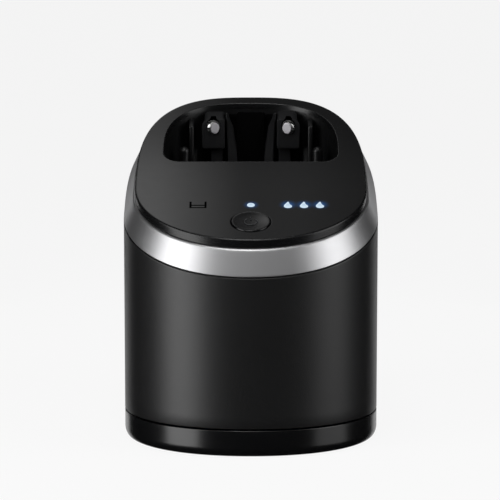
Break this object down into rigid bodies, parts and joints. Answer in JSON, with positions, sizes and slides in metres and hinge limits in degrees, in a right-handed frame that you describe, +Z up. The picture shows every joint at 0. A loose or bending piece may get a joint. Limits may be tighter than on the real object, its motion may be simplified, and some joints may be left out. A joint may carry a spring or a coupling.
{
  "type": "shaver cleaning station",
  "caption": "Oval desktop station that washes, dries and charges a shaver: lift-off housing with sloping control panel and cavity over a slide-in fluid cartridge.",
  "frame": {"origin": "bottom centre of the whole body, on the surface it stands on", "axes": "+Z up, -Y towards the control panel at the front, +X to the right seen from the front"},
  "size_m": [0.132, 0.158, 0.1674],
  "materials": {
    "gloss_black": "gloss black moulded plastic",
    "matte_black": "finely grained matte black plastic",
    "inner_black": "satin black plastic",
    "satin_silver": "satin silver",
    "rubber_black": "black rubber",
    "seal_grey": "grey silicone",
    "bright_pin": "polished nickel",
    "spring_steel": "drawn spring steel",
    "screw_steel": "zinc-plated steel",
    "brass": "brass",
    "motor_case": "drawn steel can",
    "dish_grey": "dark grey gloss plastic",
    "chassis_grey": "dark grey plastic",
    "pump_grey": "grey glass-filled plastic",
    "gear_white": "natural acetal",
    "tube_clear": "milky silicone tube",
    "cartridge_blue": "blue plastic",
    "lid_blue": "deep blue plastic",
    "filter_white": "white filter mesh",
    "board_green": "solder mask",
    "switch_black": "black switch body",
    "led_white": "light emitting diode case",
    "lit_guide": "lit bluish white light guide",
    "mark_black": "unlit black light guide"
  },
  "bodies": {
    "base": {"base_tray": "gloss_black", "base_plate": "inner_black", "base_screws": "screw_steel", "rubber_feet": "rubber_black", "guide_rods": "screw_steel", "lift_springs": "spring_steel", "latch_post": "screw_steel"},
    "cartridge": {"cartridge_tub": "cartridge_blue", "cartridge_lid": "lid_blue", "cartridge_filter": "filter_white"},
    "housing": {"housing_shell": "matte_black", "trim_ring": "satin_silver", "top_cover": "gloss_black", "cover_gasket": "rubber_black", "cavity_liner": "inner_black", "contact_bracket": "inner_black", "contact_springs": "spring_steel", "contact_terminals": "brass", "wash_dish": "dish_grey", "dish_gasket": "seal_grey", "drain_spout": "dish_grey", "nozzle_seals": "seal_grey", "chassis": "chassis_grey", "cover_screws": "screw_steel", "pump_housing": "pump_grey", "pump_cover": "pump_grey", "idler_pin": "screw_steel", "pump_motor": "motor_case", "motor_bracket": "screw_steel", "pump_screws": "screw_steel", "suction_tube": "tube_clear", "feed_tube": "tube_clear", "control_board": "board_green", "board_screws": "screw_steel", "start_switch": "switch_black", "status_leds": "led_white", "dot_light_guide": "lit_guide", "drop_light_guides": "lit_guide", "cartridge_mark": "mark_black", "power_inlet": "inner_black", "inlet_pins": "bright_pin"},
    "lift_button": {"latch_plate": "screw_steel", "lift_button": "inner_black", "lift_button_spring": "spring_steel"},
    "start_button": {"start_button": "gloss_black"},
    "contact_left": {"contact_pin_left": "bright_pin"},
    "contact_right": {"contact_pin_right": "bright_pin"},
    "pump_drive": {"pump_drive_gear": "gear_white", "motor_shaft": "screw_steel"},
    "pump_idler": {"pump_idler_gear": "gear_white"}
  },
  "joints": [
    {"name": "housing_lift", "type": "slide", "parent": "base", "child": "housing", "axis": [0, 0, 1], "range_m": [0, 0.026], "deforming": ["lift_springs"]},
    {"name": "cartridge_slide", "type": "slide", "parent": "base", "child": "cartridge", "axis": [0, 1, 0], "range_m": [0, 0.075]},
    {"name": "start_button_press", "type": "slide", "parent": "housing", "child": "start_button", "axis": [0, 0.3584, -0.9336], "range_m": [0, 0.0009], "stiffness_N_per_m": 900, "springref_m": -0.0006},
    {"name": "lift_button_press", "type": "slide", "parent": "housing", "child": "lift_button", "axis": [0, -1, 0], "range_m": [0, 0.003], "stiffness_N_per_m": 900, "springref_m": -0.0012},
    {"name": "contact_left_press", "type": "slide", "parent": "housing", "child": "contact_left", "axis": [0, 1, 0], "range_m": [0, 0.0015], "stiffness_N_per_m": 600, "springref_m": -0.0008},
    {"name": "contact_right_press", "type": "slide", "parent": "housing", "child": "contact_right", "axis": [0, 1, 0], "range_m": [0, 0.0015], "stiffness_N_per_m": 600, "springref_m": -0.0008},
    {"name": "pump_drive_spin", "type": "hinge", "parent": "housing", "child": "pump_drive", "pos_m": [-0.018, -0.0345, 0.0682], "axis": [0, 0, 1], "continuous": true},
    {"name": "pump_idler_spin", "type": "hinge", "parent": "housing", "child": "pump_idler", "pos_m": [-0.018, -0.0201, 0.0682], "axis": [0, 0, 1], "continuous": true}
  ],
  "couplings": [
    {"joint": "pump_idler_spin", "follows": "pump_drive_spin", "ratio": -1}
  ]
}
